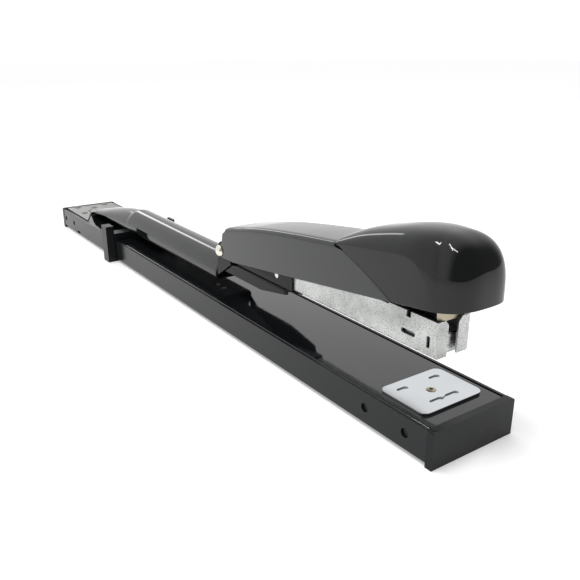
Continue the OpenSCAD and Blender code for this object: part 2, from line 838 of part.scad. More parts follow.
// Plan of the shell between x0 and x1, inset from its outside
module shell_plan(x0, x1, inset) {
    polygon([
        [x0, -handle_half(x0) + inset], [x1, -handle_half(x1) + inset],
        [x1, handle_half(x1) - inset], [x0, handle_half(x0) - inset]
    ]);
}

module handle_shell() {
    x0 = pivot_x - 4;
    x1 = seam_bottom_x + 1;
    reach = 2 * handle_front_w;
    tall = 3 * pivot_z;
    color([0.16, 0.17, 0.17]) difference() {
        intersection() {
            along_y(-reach, reach) shell_side(0);
            linear_extrude(tall) shell_plan(x0, x1, 0);
        }
        intersection() {
            along_y(-reach, reach) union() {
                shell_side(shell_t);
                polygon([
                    [pivot_x - 5, pivot_z - 6], [seam_bottom_x + 2, pivot_z + 10],
                    [seam_bottom_x + 2, pivot_z + 16], [seam_top_x + 2, pivot_z + 26.2 - shell_t],
                    [pivot_x + 3.6, pivot_z + 10], [pivot_x - 5, pivot_z + 8]
                ]);
            }
            linear_extrude(tall) shell_plan(x0 - 2, x1 + 2, shell_t);
        }
        pin_y(pivot_x, pivot_z, pivot_r + pivot_gap, -handle_rear_w - 1, handle_rear_w + 1);
    }
}

// Crown of the nose: distance ahead of the blade, height above the pivot
nose_profile = [
    [-50, 26.6], [-44, 30], [-37, 33.2], [-26, 36.3], [-15, 38.8], [-6, 40.1],
    [1, 40], [7.2, 37.6], [12, 33.2], [14.2, 28.3], [14.8, 21]
];

// Round-cornered fall from 1 at a to 0 at b
function round_off(x, a, b, power) =
    let(t = max(0, min(1, (x - a) / (b - a)))) pow(1 - pow(t, power), 1 / power);

function nose_half(x) =
    handle_half(min(x, driver_x)) * round_off(x, driver_x - 2, nose_front_x + 0.1, 3);
function nose_bottom(x) = along(x, seam_bottom_x, pivot_z + 13.3, nose_front_x, pivot_z + 17.4);
function nose_crown(x) = pivot_z + lookup(x - driver_x, nose_profile);

// Height of the line where the flat side turns into the dome
function nose_crease(x) =
    nose_bottom(x)
    + (along(min(x, driver_x - 10), seam_top_x, pivot_z + 26.7, driver_x - 12, pivot_z + 31.6)
        - nose_bottom(x)) * round_off(x, driver_x - 12, driver_x + 2.6, 3);

// Closed section of the nose at x, inset by wall: flat sides and a domed top
function nose_ring(x, wall, steps) =
    let(
        half = max(0.3, nose_half(x) - wall),
        bottom = nose_bottom(x) - (wall > 0 ? 2 : 0),
        crown = nose_crown(x) - wall,
        crease = max(bottom + 0.3, min(nose_crease(x), crown - 0.3))
    )
    concat(
        [[x, half, bottom]],
        [for (k = [0 : steps]) let(a = 180 * k / steps)
            [x, half * sign(cos(a)) * pow(abs(cos(a)), 0.75),
             crease + (crown - crease) * pow(sin(a), 0.9)]],
        [[x, -half, bottom]]
    );

module nose_solid(wall, x0, x1) {
    steps = 20;
    slices = 22;
    stations = [for (k = [0 : slices])
        x0 + (x1 - x0) * sin(90 * k / slices)
    ];
    rings = [for (x = stations) each nose_ring(x, wall, steps)];
    tube_mesh(rings, slices + 1, steps + 3);
}

module nose_cap() {
    gap = 0.35;
    color([0.04, 0.04, 0.045]) difference() {
        nose_solid(0, seam_top_x - 2, nose_front_x);
        nose_solid(nose_wall, seam_top_x - 3, nose_front_x - nose_wall);
        // slanting seam against the steel shell
        along_y(-2 * handle_front_w, 2 * handle_front_w) polygon([
            [seam_top_x - 10, pivot_z], [seam_bottom_x + gap, pivot_z],
            [seam_bottom_x + gap, pivot_z + 13.3], [pivot_x + 117 + gap, pivot_z + 17.6],
            [pivot_x + 107.5 + gap, pivot_z + 22.1], [seam_top_x + gap, pivot_z + 27],
            [seam_top_x + gap, pivot_z + 50], [seam_top_x - 10, pivot_z + 50]
        ]);
    }
}

// Underside of the driver arm's leaf at x
leaf_t = 0.9;
leaf_rear_x = pivot_x + 6;
leaf_rear_z = pivot_z + 6;
screw_x = [driver_x - 21, driver_x - 9];
screw_r = 1.4;
function arm_leaf_z(x) = along(x, leaf_rear_x, leaf_rear_z, driver_x, mag_top_z + 13);

// Steel leaf under the shell, hung on the pivot and screwed into the nose
module driver_arm() {
    half_w = 6.2;
    ear_half = 6.6;
    front_z = arm_leaf_z(blade_foot_x);
    ear_x = pivot_x + 26;
    color([0.66, 0.58, 0.38]) difference() {
        union() {
            along_y(-half_w, half_w) polygon([
                [leaf_rear_x, leaf_rear_z], [blade_foot_x, front_z],
                [blade_foot_x, front_z + leaf_t], [leaf_rear_x, leaf_rear_z + leaf_t]
            ]);
            both_sides(ear_half - leaf_t, ear_half) {
                polygon([
                    [pivot_x - 2, pivot_z + 2], [pivot_x + 2, pivot_z - 3],
                    [ear_x, arm_leaf_z(ear_x) - 0.5], [ear_x, arm_leaf_z(ear_x) + leaf_t],
                    [leaf_rear_x, leaf_rear_z + leaf_t], [pivot_x, pivot_z + 5]
                ]);
                translate([pivot_x, pivot_z]) circle(4);
            }
        }
        pin_y(pivot_x, pivot_z, pivot_r + pivot_gap, -ear_half - eps, ear_half + eps);
        for (x = screw_x) {
            translate([x, 0, arm_leaf_z(x) - leaf_t]) cylinder(r = screw_r, h = 3 * leaf_t);
        }
    }
}

// Screws from the leaf up into the nose, each with a collar on the leaf
module driver_screws() {
    collar_r = 2.6;
    color([0.7, 0.7, 0.7]) for (x = screw_x) {
        foot_z = arm_leaf_z(x + screw_r);
        top_z = nose_crown(x - screw_r) - nose_wall;
        translate([x, 0, foot_z]) cylinder(r = screw_r, h = top_z - foot_z);
        translate([x, 0, arm_leaf_z(x + collar_r) + leaf_t]) dome(collar_r, 1.2);
    }
}

// Blade curved about the pivot, so that it slides through the magazine's throat
module driver_blade() {
    half_w = staple_half - 0.15;
    top_z = mag_top_z + 15;
    color([0.55, 0.56, 0.6]) intersection() {
        difference() {
            pin_y(pivot_x, pivot_z, pivot_back + driver_t / 2, -half_w, half_w, $fn = 360);
            pin_y(pivot_x, pivot_z, pivot_back - driver_t / 2, -half_w - 1, half_w + 1, $fn = 360);
        }
        block([driver_x - 8, -half_w, driver_tip_z], [driver_x + 2, half_w, top_z]);
    }
}

// Torsion spring round the pivot between the driver arm and the holder
module return_spring() {
    wire_r = 0.5;
    coil_r = pivot_r + 1.1;
    turns = 4;
    per_turn = 14;
    half_span = 4;
    leg = 16;
    coil_end = (turns + 0.5) * per_turn;
    coil = [for (k = [0 : coil_end])
        let(a = 360 * k / per_turn)
        [pivot_x - coil_r * sin(a), half_span * (2 * k / coil_end - 1),
         pivot_z - coil_r * cos(a)]
    ];
    lower = [[pivot_x + leg, -half_span, mag_floor_z + wire_r + 0.1]];
    upper = [[pivot_x + leg, half_span, arm_leaf_z(pivot_x + leg) - wire_r - 0.2]];
    color([0.7, 0.7, 0.72]) swept_wire(concat(lower, coil, upper), wire_r, 6);
}

// ---------------------------------------------------------------- paper stop

module paper_stop() {
    x0 = rear_x + stop_from_rear;
    inner = base_w / 2 + stop_gap;
    bar_top = arm_bottom_z - stop_gap;
    bar_bottom = rim_z + slip;
    lip_top = base_lift - slip;
    far_t = 1.6;
    rib_z = 3;
    color([0.1, 0.1, 0.11]) difference() {
        along_x(x0, x0 + stop_len) {
            translate([-inner, bar_bottom]) square([2 * inner, bar_top - bar_bottom]);
            // near side: thick thumb grip
            translate([-inner - grip_t, 0.2]) square([grip_t, arm_bottom_z + 4.5]);
            // far side: thin hook
            translate([inner, 0.2]) square([far_t, arm_bottom_z + 2.9]);
            for (side = [-1, 1]) {
                translate([side > 0 ? inner - 1.8 : -inner - eps, 0.2])
                    square([1.8 + eps, lip_top - 0.2]);
            }
        }
        // fine flutes in the grip's front
        for (k = [0 : 3]) {
            translate([x0 + stop_len, -inner - grip_t + 0.9 * (k + 1), rib_z])
                cylinder(r = 0.25, h = arm_bottom_z);
        }
    }
}

// ---------------------------------------------------------------- drawing

base_channel();
top_plate();
front_end_cap();
rear_end_cap();
anvil_plate();
anvil_pivot();
anvil_spring_washer();
tail_plate();
tail_rivets();
arm_cover();
arm_rail();
head_bracket();
bracket_rivets();
lift_spring();
pivot_rivet();
magazine_carrier();
carrier_rivets();
magazine_holder();
holder_rivets();
magazine_channel();
staple_rail();
staple_strip();
rail_end_block();
pusher();
pusher_rod();
pusher_spring();
handle_shell();
nose_cap();
driver_arm();
driver_screws();
driver_blade();
return_spring();
paper_stop();
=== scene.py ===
# %% [markdown]
# # A long-reach stapler
#
# A long-reach stapler carries its head at the end of a long arm, so that it reaches the
# fold of a booklet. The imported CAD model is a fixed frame: it holds every part at its true
# size, with its joints. Here each part gets its finish. The CAD parts could be used for
# everything, but facets show in a glossy reflection. So the parts whose smooth forms
# matter most are built again as finer meshes that ride on the same bodies.

import json
import math

import bmesh
import bpy
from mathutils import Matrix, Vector


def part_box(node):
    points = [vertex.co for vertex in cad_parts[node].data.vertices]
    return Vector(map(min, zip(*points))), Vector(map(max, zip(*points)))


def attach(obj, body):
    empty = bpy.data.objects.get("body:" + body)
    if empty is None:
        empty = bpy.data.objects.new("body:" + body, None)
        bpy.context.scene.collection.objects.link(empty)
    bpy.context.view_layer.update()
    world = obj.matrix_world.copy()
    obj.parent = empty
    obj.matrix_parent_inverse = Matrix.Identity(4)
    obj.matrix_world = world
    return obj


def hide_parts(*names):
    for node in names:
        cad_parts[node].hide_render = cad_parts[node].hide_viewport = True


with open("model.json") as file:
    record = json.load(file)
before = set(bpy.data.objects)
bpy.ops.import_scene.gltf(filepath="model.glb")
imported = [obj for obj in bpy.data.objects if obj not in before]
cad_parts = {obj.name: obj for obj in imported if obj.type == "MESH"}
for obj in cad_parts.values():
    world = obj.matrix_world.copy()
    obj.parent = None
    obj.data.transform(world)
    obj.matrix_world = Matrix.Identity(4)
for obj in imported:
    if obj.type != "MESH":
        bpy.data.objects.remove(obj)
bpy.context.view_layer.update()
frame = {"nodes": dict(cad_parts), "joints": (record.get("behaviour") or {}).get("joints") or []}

# %% [markdown]
# ## Sizes taken from the frame
#
# A mesh that stands for a CAD part has to land where that part is. Its sizes could be
# typed in again, but then the two could drift apart. So the driving sizes come from the
# parts' boxes and from the joint that turns the head. Lengths on the head are then in
# millimetres from that pivot: run is forwards, y is sideways and height is upwards.

# %% Driving sizes
MM = 0.001
JOINTS = {joint["name"]: joint for joint in frame["joints"]}
PIVOT = Vector(JOINTS["head_swing"]["pos_m"])
BLADE_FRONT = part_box("driver_blade")[1].x
HALF_BLADE = 0.3 * MM
BLADE_RUN = (BLADE_FRONT - HALF_BLADE - PIVOT.x) / MM
print("pivot", tuple(round(v, 5) for v in PIVOT), "and the blade", round(BLADE_RUN, 2), "mm in front")


# %% A point on the head
def place(run, y, height):
    """A point from millimetres measured from the pivot."""
    return Vector((PIVOT.x + run * MM, y * MM, PIVOT.z + height * MM))


# %% [markdown]
# ## Shader maths as plain expressions
#
# Node graphs get hard to read when every sum is three lines of links. This small class
# wraps one output socket, so `noise * 0.1 + 0.05` adds the two Math nodes by itself.

# %% A socket that can be added and multiplied
class Flow:
    """One output socket of a node tree, with the usual operators."""

    def __init__(self, tree, socket):
        self.tree = tree
        self.socket = socket

    def _math(self, operation, first, second):
        node = self.tree.nodes.new("ShaderNodeMath")
        node.operation = operation
        fill(self.tree, node.inputs[0], first)
        fill(self.tree, node.inputs[1], second)
        return Flow(self.tree, node.outputs[0])

    def __add__(self, other):
        return self._math("ADD", self, other)

    def __radd__(self, other):
        return self._math("ADD", other, self)

    def __sub__(self, other):
        return self._math("SUBTRACT", self, other)

    def __rsub__(self, other):
        return self._math("SUBTRACT", other, self)

    def __mul__(self, other):
        return self._math("MULTIPLY", self, other)

    def __rmul__(self, other):
        return self._math("MULTIPLY", other, self)


def fill(tree, socket, value):
    """Links a flow to the socket, or sets its value; a colour gets its alpha of one."""
    if isinstance(value, Flow):
        tree.links.new(value.socket, socket)
    elif socket.type == "RGBA":
        socket.default_value = (*value, 1.0)
    else:
        socket.default_value = value


# %% [markdown]
# ## One way to make a node
#
# Every node other than Math comes from one method, which takes the node's type, its
# settings and its sockets' values. The few kinds that these finishes need often, such as
# noise or a bump, are one short method each on top of it.

# %% A node tree whose nodes are all made by one method
BLACK = (0.0, 0.0, 0.0)
WHITE = (1.0, 1.0, 1.0)


def set_stops(ramp, stops):
    """Gives a colour ramp its stops (position, colour); a new ramp already has two."""
    while len(ramp.elements) < len(stops):
        ramp.elements.new(0.5)
    for element, (position, color) in zip(ramp.elements, stops):
        element.position = position
        element.color = (*color, 1.0)


class Graph:
    """Adds nodes to a material's or a world's tree."""

    def __init__(self, tree):
        self.tree = tree

    def node(self, kind, settings=(), values=(), output=0):
        """A node of this type, its settings set first, then its sockets' values or links."""
        made = self.tree.nodes.new(kind)
        for name, value in dict(settings).items():
            if name == "stops":
                set_stops(made.color_ramp, value)
            else:
                setattr(made, name, value)
        for name, value in dict(values).items():
            fill(self.tree, made.inputs[name], value)
        return Flow(self.tree, made.outputs[output])

    def own_space(self):
        """The point in the object's own space, which moves with the piece."""
        return self.node("ShaderNodeTexCoord", output="Object")

    def noise(self, scale, detail=3.0, stretch=None):
        """Noise at so many features a metre, stretched along the axes if asked."""
        where = self.own_space()
        if stretch is not None:
            where = self.node("ShaderNodeVectorMath", {"operation": "MULTIPLY"}, {0: where, 1: stretch})
        return self.node("ShaderNodeTexNoise", {}, {"Vector": where, "Scale": scale, "Detail": detail})

    def mask(self, value, start, end, before=BLACK, after=WHITE):
        """One grey up to start, another from end on, and a slope between them."""
        stops = [(0.0, before), (start, before), (end, after)]
        return self.node("ShaderNodeValToRGB", {"stops": stops}, {0: value})

    def blend(self, factor, first, second):
        """A colour between two colours."""
        sockets = {0: factor, 6: first, 7: second}
        return self.node("ShaderNodeMix", {"data_type": "RGBA"}, sockets, output=2)

    def bump(self, height, strength, distance):
        """A normal tilted by a height that is so many metres deep."""
        sockets = {"Height": height, "Strength": strength, "Distance": distance}
        return self.node("ShaderNodeBump", {}, sockets)


# %% A finish is one material and the graph behind it
class Finish(Graph):
    """A new material with its shader's sockets ready to be filled."""

    def __init__(self, name):
        self.material = bpy.data.materials.new(name)
        self.material.use_nodes = True
        super().__init__(self.material.node_tree)
        self.shader = self.tree.nodes["Principled BSDF"]

    def set(self, **sockets):
        """Fills the shader's sockets: base_color=..., roughness=... and so on."""
        for name, value in sockets.items():
            title = name.replace("_", " ").title().replace("Ior", "IOR")
            fill(self.tree, self.shader.inputs[title], value)
        return self.material


# %% [markdown]
# ## Black paint
#
# The base, the arm and the handle are steel under baked black enamel. A plain dark
# colour with one roughness would look like a toy. Enamel has an orange-peel wave, a
# gloss that changes slowly like cloud, some dust, and fine rubbed streaks along the
# direction in which hands and paper slide. Four noises of different sizes give those
# four, and none of them needs an image.

# %% Enamels
ALONG_X = (0.06, 1.0, 1.0)


def enamel(name, tone, gloss, shine):
    """Black baked enamel of mean roughness gloss; shine is its index of refraction."""
    finish = Finish(name)
    peel = finish.noise(420.0, 2.0)
    rub = finish.noise(900.0, 4.0, stretch=ALONG_X)
    dust = finish.mask(finish.noise(2600.0, 2.0), 0.70, 0.78)
    cloud = finish.noise(35.0, 2.0)
    return finish.set(
        base_color=finish.blend(dust * 0.10, tone, (0.30, 0.30, 0.29)),
        roughness=gloss + rub * 0.05 + cloud * 0.04 + dust * 0.15,
        normal=finish.bump(peel, 0.05, 0.2 * MM),
        ior=shine,
    )


gloss_enamel = enamel("gloss_enamel", (0.006, 0.007, 0.008), 0.02, 1.56)
# The enamel on the next line is the same black enamel, made darker and far less reflective: painted shade for
# the bracket, carrier and holder under the handle.
shaded_enamel = enamel("shaded_enamel", (0.005, 0.005, 0.006), 0.08, 1.24)
plain_enamel = enamel("plain_enamel", (0.010, 0.011, 0.012), 0.14, 1.32)
print("enamels:", gloss_enamel.name, shaded_enamel.name, plain_enamel.name)


# %% [markdown]
# ## Glossy plastic
#
# The nose cap is glossy moulded plastic. It is almost a mirror, so what makes it plastic
# is what disturbs the mirror: a faint swirl where the melt flowed, and the wipe marks
# and specks of use. Each is one noise that shifts the roughness or the colour a little.

# %% Glossy plastic
def gloss_plastic(name):
    """Polished black moulding with flow swirls, wipe marks and specks of dust."""
    finish = Finish(name)
    swirl = finish.noise(60.0, 2.0)
    wipe = finish.noise(700.0, 3.0, stretch=(0.2, 1.0, 0.2))
    speck = finish.mask(finish.noise(3000.0, 1.0), 0.72, 0.80)
    return finish.set(
        base_color=finish.blend(speck * 0.06, (0.004, 0.0045, 0.005), (0.25, 0.25, 0.25)),
        roughness=0.035 + swirl * 0.03 + wipe * 0.02,
        normal=finish.bump(swirl, 0.02, 0.4 * MM),
        ior=1.42,
    )


nose_plastic = gloss_plastic("nose_plastic")
print("glossy plastic:", nose_plastic.name)


# %% [markdown]
# ## Grained plastic
#
# The end caps and the paper stop come from a mould with a spark-eroded grain, which
# scatters light. Real bumps that small would need millions of faces, so a bump node
# tilts the normal instead. Scuffs polish the grain, so they are paler and smoother.

# %% Grained plastics
def grained_plastic(name, tone, gloss):
    """Moulding with an even fine grain and paler scuffs; gloss is its mean roughness."""
    finish = Finish(name)
    grain = finish.noise(5200.0, 2.0)
    scuff = finish.mask(finish.noise(260.0, 4.0, stretch=(1.0, 1.0, 0.3)), 0.62, 0.72)
    return finish.set(
        base_color=finish.blend(scuff * 0.12, tone, (0.12, 0.12, 0.12)),
        roughness=gloss + grain * 0.10 - scuff * 0.08,
        normal=finish.bump(grain, 0.22, 0.06 * MM),
        ior=1.26,
    )


cap_plastic = grained_plastic("cap_plastic", (0.010, 0.011, 0.012), 0.22)
inner_plastic = grained_plastic("inner_plastic", (0.06, 0.06, 0.065), 0.42)
print("grained plastics:", cap_plastic.name, inner_plastic.name)


# %% [markdown]
# ## Zinc plate
#
# The magazine is zinc plated: pale and slightly frosted, because the plating grows in
# small crystals. A Voronoi texture gives each crystal its own value, which tints the
# roughness and the bump. Dark pin marks and grey handling stains lie over it.

# %% Zinc plate
def zinc_plate(name):
    """Frosted zinc with crystals, pin marks and stains."""
    finish = Finish(name)
    crystal = finish.node(
        "ShaderNodeTexVoronoi", {"feature": "F1"}, {"Vector": finish.own_space(), "Scale": 1400.0}, "Color"
    )
    cell = finish.node("ShaderNodeSeparateColor", {}, {"Color": crystal})
    smear = finish.noise(70.0, 5.0)
    pins = finish.mask(finish.noise(1900.0, 3.0), 0.35, 0.43, before=WHITE, after=BLACK)
    stain = finish.mask(smear, 0.42, 0.80)
    pale = finish.blend(stain, (0.60, 0.61, 0.60), (0.34, 0.35, 0.34))
    return finish.set(
        base_color=finish.blend(pins * 0.75, pale, (0.12, 0.12, 0.11)),
        metallic=0.92,
        roughness=0.30 + cell * 0.14 + smear * 0.12,
        normal=finish.bump(cell * 0.4 + smear, 0.08, 0.1 * MM),
    )


zinc = zinc_plate("zinc")
print("plated steel:", zinc.name)


# %% [markdown]
# ## Bare metals
#
# The anvil is polished chrome, and the rivets and springs are plain steel or nickelled
# brass. They are all the same idea: a metal tone, a smear from fingers, and scratches
# that mostly run one way. So one function makes them all, and its stretch says which way.

# %% Bare metals
def metal(name, tone, gloss, scratch, stretch):
    """Bare metal with directional scratches; scratch is how much they roughen it."""
    finish = Finish(name)
    lines = finish.noise(2400.0, 4.0, stretch=stretch)
    smear = finish.noise(90.0, 3.0)
    darker = tuple(0.72 * channel for channel in tone)
    return finish.set(
        base_color=finish.blend(smear * 0.5, tone, darker),
        metallic=1.0,
        roughness=gloss + lines * scratch + smear * 0.05,
        normal=finish.bump(lines, 0.06, 0.05 * MM),
    )


LENGTHWAYS = (0.1, 1.0, 1.0)
ACROSS = (1.0, 0.1, 1.0)
EVERY_WAY = (1.0, 1.0, 1.0)
chrome = metal("chrome", (0.64, 0.66, 0.68), 0.09, 0.10, ACROSS)
tail_steel = metal("tail_steel", (0.27, 0.27, 0.27), 0.30, 0.12, LENGTHWAYS)
rivet_brass = metal("rivet_brass", (0.46, 0.41, 0.31), 0.28, 0.14, EVERY_WAY)
rivet_nickel = metal("rivet_nickel", (0.86, 0.83, 0.74), 0.16, 0.14, EVERY_WAY)
bright_steel = metal("bright_steel", (0.72, 0.72, 0.72), 0.20, 0.12, LENGTHWAYS)
spring_steel = metal("spring_steel", (0.24, 0.25, 0.27), 0.24, 0.10, (0.2, 1.0, 1.0))
# The steel on the next line is toned almost black: painted shade for the driver arm inside the nose.
dark_steel = metal("dark_steel", (0.10, 0.10, 0.10), 0.32, 0.12, LENGTHWAYS)
dark_rivet = metal("dark_rivet", (0.20, 0.18, 0.14), 0.34, 0.16, EVERY_WAY)
print("bare metals, from", chrome.name, "to", dark_rivet.name)

# %% [markdown]
# ## Finishes on the parts that stay as they are
#
# Folded sheet has a small round on every edge, and that round is what catches the light.
# The rounds could be cut into the mesh, but the CAD mesh has to stay as it is. The rounds
# are not cut into the CAD mesh: a weld modifier joins the imported faces and a bevel
# modifier rounds their edges.

# %% Which finish goes on which part
FINISH_OF = {
    "base_channel": plain_enamel,
    "top_plate": gloss_enamel,
    "front_end_cap": cap_plastic,
    "rear_end_cap": cap_plastic,
    "anvil_plate": chrome,
    "anvil_pivot": rivet_brass,
    "anvil_spring_washer": spring_steel,
    "tail_plate": tail_steel,
    "tail_rivets": dark_rivet,
    "arm_cover": gloss_enamel,
    "arm_rail": plain_enamel,
    # The bracket, the carrier and the holder take the enamel with painted shade.
    "head_bracket": shaded_enamel,
    "bracket_rivets": bright_steel,
    "lift_spring": spring_steel,
    "pivot_rivet": rivet_nickel,
    "magazine_carrier": shaded_enamel,
    "carrier_rivets": bright_steel,
    "magazine_holder": shaded_enamel,
    "holder_rivets": bright_steel,
    "magazine_channel": zinc,
    "staple_rail": bright_steel,
    "staple_strip": spring_steel,
    "rail_end_block": inner_plastic,
    "pusher": inner_plastic,
    "pusher_rod": bright_steel,
    "pusher_spring": spring_steel,
    "handle_shell": gloss_enamel,
    "nose_cap": nose_plastic,
    # The driver arm takes the steel with painted shade.
    "driver_arm": dark_steel,
    "driver_screws": bright_steel,
    "driver_blade": rivet_brass,
    "return_spring": spring_steel,
    "paper_stop": cap_plastic,
}
for name, part in frame["nodes"].items():
    part.data.materials.clear()
    part.data.materials.append(FINISH_OF[name])
print("finished parts:", len(frame["nodes"]), "in", len(set(FINISH_OF.values())), "finishes")

# %% Rounded edges, in millimetres
EDGE_ROUND = {
    "base_channel": 0.30,
    "top_plate": 0.15,
    "front_end_cap": 0.70,
    "rear_end_cap": 0.70,
    "anvil_plate": 0.18,
    "tail_plate": 0.15,
    "arm_rail": 0.20,
    "head_bracket": 0.20,
    "magazine_carrier": 0.20,
    "magazine_holder": 0.18,
    "magazine_channel": 0.14,
    "paper_stop": 0.45,
    "pusher": 0.20,
    "driver_arm": 0.20,
}
SHARP = math.radians(38)


def round_edges(piece, width):
    """Joins the split faces and rounds the sharp edges by width millimetres."""
    weld = piece.modifiers.new("join_faces", "WELD")
    weld.merge_threshold = 0.01 * MM
    bevel = piece.modifiers.new("round_edges", "BEVEL")
    bevel.width = width * MM
    bevel.segments = 3
    bevel.limit_method = "ANGLE"
    bevel.angle_limit = SHARP
    bevel.use_clamp_overlap = True
    bevel.harden_normals = True


for name, width in EDGE_ROUND.items():
    round_edges(frame["nodes"][name], width)
print("parts with rounded edges:", len(EDGE_ROUND))


# %% [markdown]
# ## Curves by formula
#
# The shells need three small helpers: a straight mix, a soft step, and a smooth curve
# through a few chosen points. A drawn Blender curve could do the last job, but a
# function gives the height at any run directly.

# %% Mix, step and profile
def mix(first, second, share):
    """The value a share of the way from first to second."""
    return first + (second - first) * share


def ease(x, start, end):
    """Smooth step from 0 at start to 1 at end."""
    share = min(1.0, max(0.0, (x - start) / (end - start)))
    return share * share * (3 - 2 * share)


def slope_between(points, k):
    """Slope of the stretch after point k; past either end, the end stretch's own."""
    k = min(max(k, 0), len(points) - 2)
    (x0, z0), (x1, z1) = points[k], points[k + 1]
    return (z1 - z0) / (x1 - x0)


def profile(points, x):
    """Height of a smooth curve through the points (x, z), by cubic stretches."""
    if x <= points[0][0]:
        return points[0][1]
    if x >= points[-1][0]:
        return points[-1][1]
    k = next(k for k in range(len(points) - 1) if x <= points[k + 1][0])
    (x0, z0), (x1, z1) = points[k], points[k + 1]
    slope = slope_between(points, k)
    slope0 = (slope + slope_between(points, k - 1)) / 2
    slope1 = (slope + slope_between(points, k + 1)) / 2
    length = x1 - x0
    t = (x - x0) / length
    return (
        (2 * t**3 - 3 * t**2 + 1) * z0
        + (t**3 - 2 * t**2 + t) * length * slope0
        + (3 * t**2 - 2 * t**3) * z1
        + (t**3 - t**2) * length * slope1
    )


# %% [markdown]
# ## From a grid of points to a shell
#
# Each shell is a grid: rows run one way over it and columns the other. Sculpting would
# give such a form too, but not at a known size. One function turns the grid into a mesh
# and marks its creases. Another gives it a wall with Solidify and smooths it with
# Subdivision Surface.

# %% Grid to mesh
def grid_mesh(name, rows, creases):
    """A mesh through rows of points; a crease is (row, column, weight) along the row."""
    columns = len(rows[0])
    points = [point for row in rows for point in row]
    corners = [i * columns + k for i in range(len(rows) - 1) for k in range(columns - 1)]
    faces = [(first, first + 1, first + columns + 1, first + columns) for first in corners]
    mesh = bpy.data.meshes.new(name)
    mesh.from_pydata(points, [], faces)
    form = bmesh.new()
    form.from_mesh(mesh)
    crease_weight = form.edges.layers.float.new("crease_edge")
    form.verts.ensure_lookup_table()
    for row, column, weight in creases:
        first = row * columns + column
        edge = form.edges.get((form.verts[first], form.verts[first + 1]))
        edge[crease_weight] = weight
    bmesh.ops.remove_doubles(form, verts=form.verts, dist=0.02 * MM)
    bmesh.ops.recalc_face_normals(form, faces=form.faces)
    for face in form.faces:
        face.smooth = True
    form.to_mesh(mesh)
    form.free()
    return mesh


# %% Mesh to shell
def shell_from_grid(name, rows, wall, finish, body, node, creases=()):
    """A shell of the given wall through rows of points, riding on body for CAD node."""
    piece = bpy.data.objects.new(name, grid_mesh(name, rows, creases))
    bpy.context.scene.collection.objects.link(piece)
    piece.data.materials.append(finish)
    thick = piece.modifiers.new("wall", "SOLIDIFY")
    thick.thickness = wall
    thick.offset = -1.0
    thick.use_even_offset = True
    smooth = piece.modifiers.new("smooth", "SUBSURF")
    smooth.levels = 2
    smooth.render_levels = 2
    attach(piece, body)
    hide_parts(node)
    print(f"{name}: {len(rows)} rows of {len(rows[0])} points")
    return piece


# %% [markdown]
# ## The handle's steel shell
#
# It is one pressed piece: an upside-down U, wider towards the front, cut off slanting
# where the nose cap begins. A box with a Boolean cut would leave ragged faces at the
# slant. So the grid itself is slanted: a share of 0 is the side's lower edge and 1 is
# its top, and the rear and front edges are formulas in that share.

# %% Outline of the handle
REAR_HALF = 11.0
FRONT_HALF = 15.0
SEAM_FOOT = (126.3, 13.3)
SEAM_SLANT = 33.3
SEAM_BULGE = 1.8
SHELL_BOTTOM = [(-0.4, -3.4), (13.3, -2.8), SEAM_FOOT]
SHELL_TOP = [(3.2, 12.0), (8, 13.4), (18, 15.6), (34, 19.0), (62, 23.2), (93, 27.0), (127, 31.6)]


def handle_half(run):
    """Half width of the handle."""
    return REAR_HALF + (FRONT_HALF - REAR_HALF) * run / BLADE_RUN


def lower_edge(run):
    """Height of the shell's lower edge, which has one bend."""
    rear, bend, front = SHELL_BOTTOM
    first, last = (rear, bend) if run < bend[0] else (bend, front)
    return mix(first[1], last[1], (run - first[0]) / (last[0] - first[0]))


def seam_run(share):
    """Where the shell ends and the nose cap begins, at a share of the side's height."""
    return SEAM_FOOT[0] - SEAM_SLANT * share + SEAM_BULGE * math.sin(math.pi * share)


print("the seam leans back", round(seam_run(0.0) - seam_run(1.0), 1), "mm")

# %% Rear edge of the handle
LUG_R = 2.9
LUG_RUN = 0.3
REAR_LEAN = 3.7
REAR_CORNER = 1.4


def rear_run(share):
    """The shell's rear edge, with a lug round the pivot and a rounded upper corner."""
    height = mix(SHELL_BOTTOM[0][1], SHELL_TOP[0][1], share)
    plain = SHELL_BOTTOM[0][0] + REAR_LEAN * share + REAR_CORNER * ease(share, 0.80, 1.0)
    if abs(height) >= LUG_R:
        return plain
    return min(plain, LUG_RUN - math.sqrt(LUG_R * LUG_R - height * height))


print("rear edge from", round(rear_run(0.0), 1), "to", round(rear_run(1.0), 1), "mm")

# %% Shell
SHELL_STEPS = 54
SIDE_STEPS = 16
SIDE_SHARE = 0.86
TOP_STEPS = 8
TOP_CORNER_R = 2.4
TOP_CROWN = 0.35


def side_point(along, share, side):
    """A point so far along the shell and so far up its side."""
    run = mix(rear_run(share), seam_run(share), along)
    height = mix(lower_edge(run), profile(SHELL_TOP, run), share)
    return place(run, side * handle_half(run), height)


def over_the_top(run):
    """Points from side to side: a round corner, the faintly crowned top, a corner."""
    top, half = profile(SHELL_TOP, run), handle_half(run)
    flat = half - TOP_CORNER_R
    corner = []
    for k in range(1, TOP_STEPS):
        turn = math.pi / 2 * k / TOP_STEPS
        corner.append((half - TOP_CORNER_R * (1 - math.cos(turn)), top - TOP_CORNER_R * (1 - math.sin(turn))))
    middle = []
    for k in range(TOP_STEPS + 1):
        y = mix(-flat, flat, k / TOP_STEPS)
        middle.append((y, top + TOP_CROWN * (1 - (y / half) ** 2)))
    mirrored = [(-y, height) for y, height in corner]
    return [place(run, y, height) for y, height in mirrored + middle + corner[::-1]]


